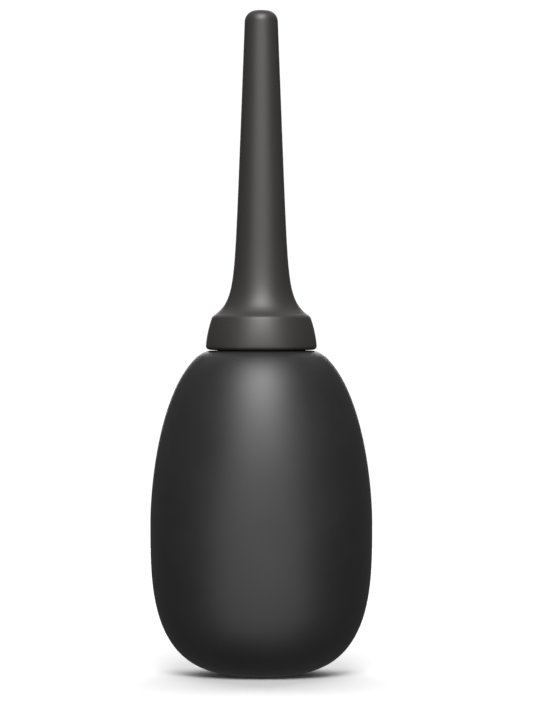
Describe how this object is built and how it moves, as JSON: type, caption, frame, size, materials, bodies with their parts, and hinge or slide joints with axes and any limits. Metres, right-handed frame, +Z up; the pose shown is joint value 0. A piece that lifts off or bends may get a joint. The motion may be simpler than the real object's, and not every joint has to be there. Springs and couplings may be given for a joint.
{
  "type": "dust blower bulb",
  "caption": "Hand-squeezed dust blower: an egg-shaped rubber bulb with a one-way intake in its foot and a long tapered nozzle screwed onto its neck.",
  "frame": {"origin": "middle of the flat foot that the bulb stands on", "axes": "+Z up, along the bulb's and the nozzle's common axis, towards the outlet; X and Y are any pair across it, as the outside is round"},
  "size_m": [0.064, 0.064, 0.1917],
  "materials": {
    "bulb_rubber": "matte, moulded",
    "nozzle_plastic": "satin, moulded",
    "black_plastic": "satin, moulded",
    "valve_silicone": "matte, translucent",
    "ball_rubber": "satin, ground",
    "gasket_rubber": "matte",
    "spring_steel": "drawn wire",
    "filter_felt": "felted"
  },
  "bodies": {
    "bulb": {"bulb_shell": "bulb_rubber", "intake_valve_body": "black_plastic", "intake_filter": "filter_felt", "intake_grille": "black_plastic"},
    "intake_poppet": {"intake_poppet": "valve_silicone"},
    "neck": {"threaded_neck": "black_plastic", "outlet_valve_spring": "spring_steel", "outlet_valve_cage": "black_plastic"},
    "outlet_ball": {"outlet_valve_ball": "ball_rubber"},
    "gasket": {"nozzle_gasket": "gasket_rubber"},
    "nozzle": {"nozzle": "nozzle_plastic"}
  },
  "joints": [
    {"name": "squeeze", "type": "slide", "parent": "bulb", "child": "neck", "axis": [0, 0, -1], "range_m": [0, 0.025], "stiffness_N_per_m": 1200, "deforming": ["bulb_shell"]},
    {"name": "nozzle_lift", "type": "slide", "parent": "neck", "child": "gasket", "axis": [0, 0, 1], "range_m": [0, 0.0034]},
    {"name": "nozzle_turn", "type": "hinge", "parent": "gasket", "child": "nozzle", "pos_m": [0, 0, 0.1], "axis": [0, 0, 1], "range_deg": [0, 396]},
    {"name": "outlet_valve_lift", "type": "slide", "parent": "neck", "child": "outlet_ball", "axis": [0, 0, 1], "range_m": [0, 0.002], "stiffness_N_per_m": 20, "deforming": ["outlet_valve_spring"]},
    {"name": "intake_valve_lift", "type": "slide", "parent": "bulb", "child": "intake_poppet", "axis": [0, 0, 1], "range_m": [0, 0.0012], "stiffness_N_per_m": 50}
  ],
  "couplings": [
    {"joint": "nozzle_lift", "follows": "nozzle_turn", "m_per_rad": 0.00047746}
  ]
}
